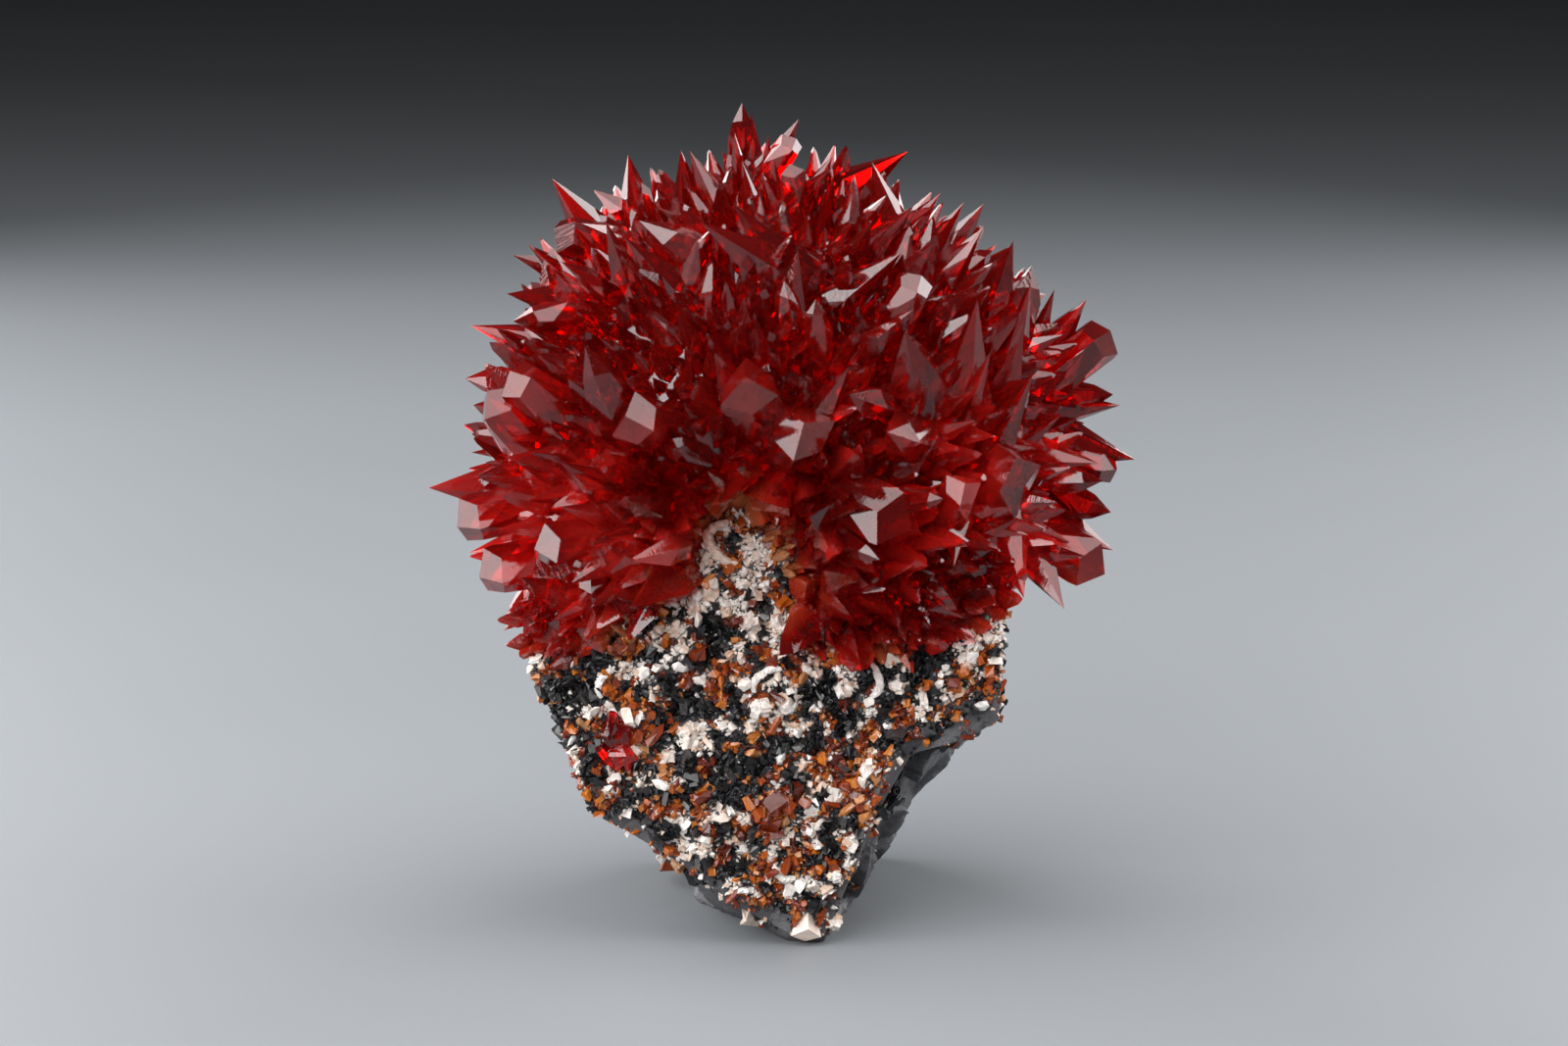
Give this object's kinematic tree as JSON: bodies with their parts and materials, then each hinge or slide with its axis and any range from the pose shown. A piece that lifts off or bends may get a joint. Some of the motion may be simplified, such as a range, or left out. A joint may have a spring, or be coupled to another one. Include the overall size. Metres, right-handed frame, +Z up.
{
  "type": "rhodochrosite on matrix",
  "caption": "Dome of deep red, clear dog-tooth rhodochrosite crystals on a wedge of dark ore crusted with small white, orange and black crystals.",
  "frame": {"origin": "middle of the flat break under the matrix, the face that the specimen stands on", "axes": "+Z up, -Y towards the crusted front of the matrix and the crystals' display side, +X to the right seen from the front"},
  "size_m": [0.0921, 0.0668, 0.1071],
  "materials": {
    "rhodochrosite": "clear deep red, glassy faces",
    "matrix": "dark grey broken ore, dull metallic sheen",
    "druse": "fine white, orange-brown and black crystals",
    "calcite": "milky, pale pink, waxy"
  },
  "bodies": {
    "root": {"matrix": "matrix", "druse": "druse", "rhodochrosite": "rhodochrosite", "stray_crystals": "rhodochrosite", "calcite_tip": "calcite"}
  },
  "joints": []
}
